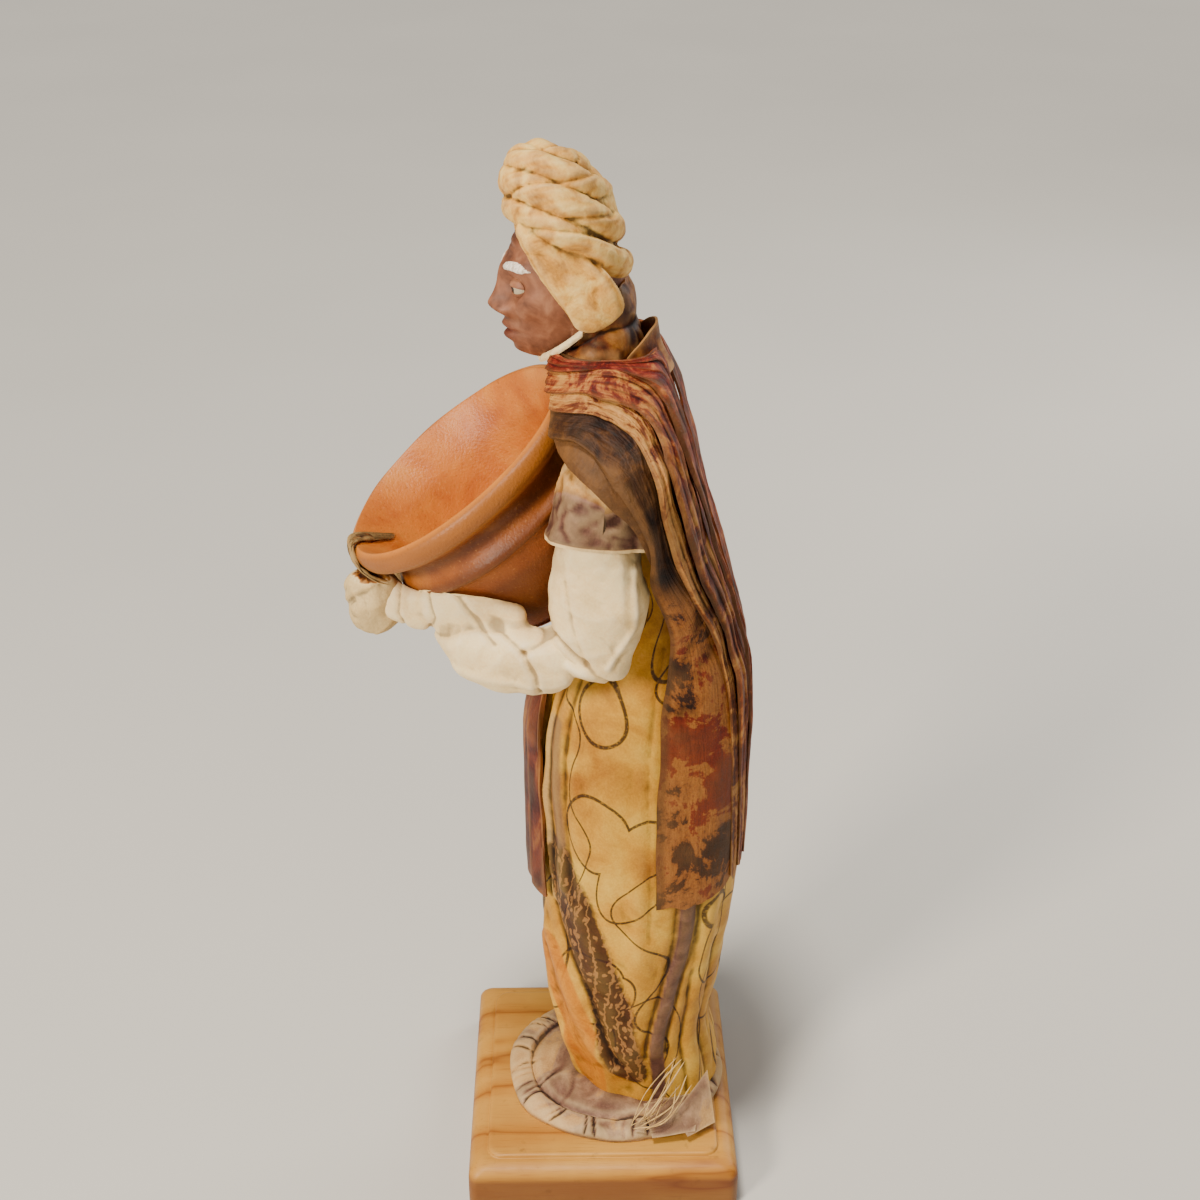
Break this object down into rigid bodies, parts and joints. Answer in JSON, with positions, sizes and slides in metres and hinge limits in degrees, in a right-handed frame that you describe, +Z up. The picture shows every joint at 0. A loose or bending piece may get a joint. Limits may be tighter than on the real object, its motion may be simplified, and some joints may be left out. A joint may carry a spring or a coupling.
{
  "type": "papier-mache figure",
  "caption": "Standing papier-mache figure in a turban, pleated shawl and long robe, holding a hollow clay basin at the chest, on a square moulded wooden base.",
  "frame": {"origin": "middle of the wooden base's underside, where the figure stands", "axes": "+Z up through the turban, the figure faces -Y and its left side is +X"},
  "size_m": [0.1004, 0.123, 0.3458],
  "materials": {
    "pine": "clear varnished pine with a satin sheen",
    "ground_paper": "mottled mauve and tan paper, matte",
    "robe_paper": "ochre printed paper under thin glue varnish",
    "maroon_paper": "maroon printed paper, satin",
    "shawl_paper": "pleated brown, maroon and tan paper, satin",
    "scarf_paper": "mottled brown paper, satin",
    "white_paper": "creased white paper, satin",
    "sleeve_paper": "tan and mauve paper, satin",
    "hand_paper": "wrapped cream paper with grimy edges, matte",
    "skin_clay": "painted brown clay, matte",
    "turban_paper": "twisted cream paper, matte",
    "terracotta": "burnished orange terracotta with a speckled sheen"
  },
  "bodies": {
    "root": {"wooden_base": "pine", "ground_mound": "ground_paper", "robe": "robe_paper", "front_panel": "maroon_paper", "shawl": "shawl_paper", "neck_scarf": "scarf_paper", "collar_strip": "white_paper", "sleeve_left": "sleeve_paper", "sleeve_right": "sleeve_paper", "arm_left": "white_paper", "arm_right": "white_paper", "hand_left": "hand_paper", "hand_right": "hand_paper", "head": "skin_clay", "turban": "turban_paper", "basin": "terracotta"}
  },
  "joints": []
}
